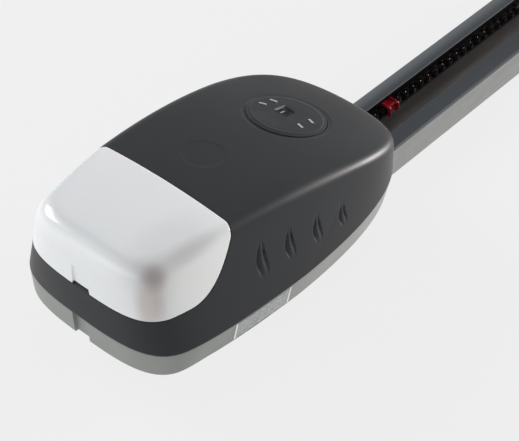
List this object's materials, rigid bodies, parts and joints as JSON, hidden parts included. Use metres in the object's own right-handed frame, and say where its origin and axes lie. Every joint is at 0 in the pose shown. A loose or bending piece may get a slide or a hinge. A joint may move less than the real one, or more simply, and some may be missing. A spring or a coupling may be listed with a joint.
{
  "type": "garage door opener",
  "caption": "Ceiling-mounted trolley garage door opener: covered drive head with courtesy light, C-section rail with chain drive, sliding trolley and door arm.",
  "frame": {"origin": "on the rail's ceiling-side face, on the drive sprocket's axis", "axes": "+Z from the ceiling side towards the garage floor side, +Y along the rail towards the door, +X across the head"},
  "size_m": [0.219, 3.192, 0.1585],
  "materials": {
    "steel_zinc": "zinc plated",
    "tray_grey": "fine texture",
    "cover_charcoal": "fine spark texture",
    "lens_white": "satin opal",
    "panel_black": "satin",
    "window_smoke": "gloss",
    "display_black": "satin",
    "board_green": "solder mask",
    "relay_blue": "moulded",
    "capacitor_sleeve": "shrink sleeve",
    "terminal_green": "moulded",
    "shield_white": "moulded",
    "led_board_white": "white solder mask",
    "core_iron": "varnished laminations",
    "coil_copper": "enamelled wire",
    "motor_paint": "black zinc",
    "black_plastic": "moulded",
    "machined_steel": "turned",
    "gearbox_alloy": "die cast",
    "wheel_plastic": "natural nylon",
    "chain_black": "oiled black",
    "red_plastic": "moulded"
  },
  "bodies": {
    "opener": {"rail": "steel_zinc", "chassis_plate": "steel_zinc", "saddle_clamps": "steel_zinc", "ceiling_brackets": "steel_zinc", "rail_bolts": "steel_zinc", "rail_end_plate": "steel_zinc", "tension_anchor": "steel_zinc", "idler_fork": "steel_zinc", "tension_rod": "steel_zinc", "gearbox_screws": "steel_zinc", "cover_screws": "steel_zinc", "idler_axle": "steel_zinc", "tension_spring": "steel_zinc", "base_tray": "tray_grey", "top_cover": "cover_charcoal", "light_lens": "lens_white", "panel_disc": "panel_black", "display_window": "window_smoke", "display_module": "display_black", "panel_board": "board_green", "control_board": "board_green", "board_relays": "relay_blue", "board_capacitor": "capacitor_sleeve", "terminal_block": "terminal_green", "inner_shield": "shield_white", "led_board": "led_board_white", "transformer_core": "core_iron", "transformer_coils": "coil_copper", "motor_can": "motor_paint", "motor_end_cap": "black_plastic", "rail_saddle": "black_plastic", "cable_gland": "black_plastic", "travel_stop": "black_plastic", "output_bearings": "machined_steel", "gearbox_housing": "gearbox_alloy", "gearbox_lid": "gearbox_alloy", "chain_left": "chain_black", "chain_right": "chain_black", "chain_wraps": "chain_black"},
    "motor_rotor": {"motor_shaft": "machined_steel", "armature": "core_iron", "worm": "machined_steel", "encoder_disc": "black_plastic"},
    "output_drive": {"output_shaft": "machined_steel", "worm_wheel": "wheel_plastic", "drive_sprocket": "machined_steel"},
    "idler": {"idler_sprocket": "machined_steel"},
    "shuttle": {"chain_shuttle": "red_plastic"},
    "trolley": {"trolley_body": "black_plastic", "arm_pivot_pin": "steel_zinc"},
    "latch": {"trolley_latch": "steel_zinc"},
    "lever": {"release_lever": "red_plastic"},
    "arm": {"door_arm": "steel_zinc", "door_bracket_pin": "steel_zinc"},
    "arm_bracket": {"door_bracket": "steel_zinc"},
    "lintel_bracket": {"wall_bracket": "steel_zinc"},
    "key_up": {"button_up": "panel_black"},
    "key_down": {"button_down": "panel_black"},
    "key_left": {"button_left": "panel_black"},
    "key_right": {"button_right": "panel_black"}
  },
  "joints": [
    {"name": "motor_spin", "type": "hinge", "parent": "opener", "child": "motor_rotor", "pos_m": [0.0395, 0, 0.0795], "axis": [0, 1, 0], "range_deg": [0, 262080]},
    {"name": "output_spin", "type": "hinge", "parent": "opener", "child": "output_drive", "pos_m": [0, 0, 0.0795], "axis": [0, 0, 1], "range_deg": [0, 7283]},
    {"name": "idler_spin", "type": "hinge", "parent": "opener", "child": "idler", "pos_m": [0, 2.78, 0.02], "axis": [0, 0, 1], "range_deg": [0, 7283]},
    {"name": "shuttle_slide", "type": "slide", "parent": "opener", "child": "shuttle", "axis": [0, 1, 0], "range_m": [0, 2.362]},
    {"name": "trolley_slide", "type": "slide", "parent": "opener", "child": "trolley", "axis": [0, 1, 0], "range_m": [-0.754, 1.61]},
    {"name": "lever_hinge", "type": "hinge", "parent": "trolley", "child": "lever", "pos_m": [0, 1.04, 0.055], "axis": [-1, 0, 0], "range_deg": [-25, 0]},
    {"name": "latch_slide", "type": "slide", "parent": "trolley", "child": "latch", "axis": [0, 0, 1], "range_m": [-0.0085, 0.0005]},
    {"name": "arm_hinge", "type": "hinge", "parent": "trolley", "child": "arm", "pos_m": [0, 1.088, 0.062], "axis": [1, 0, 0], "range_deg": [0, 110]},
    {"name": "door_bracket_hinge", "type": "hinge", "parent": "arm", "child": "arm_bracket", "pos_m": [0, 1.548, 0.062], "axis": [1, 0, 0], "range_deg": [0, 100]},
    {"name": "wall_bracket_hinge", "type": "hinge", "parent": "opener", "child": "lintel_bracket", "pos_m": [0, 2.954, 0.018], "axis": [1, 0, 0], "range_deg": [0, 35]},
    {"name": "press_up", "type": "slide", "parent": "opener", "child": "key_up", "axis": [0, -0.2823, -0.9593], "range_m": [0, 0.0008], "stiffness_N_per_m": 300, "springref_m": -0.001},
    {"name": "press_down", "type": "slide", "parent": "opener", "child": "key_down", "axis": [0, -0.2823, -0.9593], "range_m": [0, 0.0008], "stiffness_N_per_m": 300, "springref_m": -0.001},
    {"name": "press_left", "type": "slide", "parent": "opener", "child": "key_left", "axis": [0, -0.2823, -0.9593], "range_m": [0, 0.0008], "stiffness_N_per_m": 300, "springref_m": -0.001},
    {"name": "press_right", "type": "slide", "parent": "opener", "child": "key_right", "axis": [0, -0.2823, -0.9593], "range_m": [0, 0.0008], "stiffness_N_per_m": 300, "springref_m": -0.001}
  ],
  "couplings": [
    {"joint": "output_spin", "follows": "motor_spin", "ratio": 0.027778},
    {"joint": "idler_spin", "follows": "motor_spin", "ratio": 0.027778},
    {"joint": "shuttle_slide", "follows": "motor_spin", "m_per_rad": 0.00051573},
    {"joint": "latch_slide", "follows": "lever_hinge", "m_per_rad": 0.018335}
  ]
}
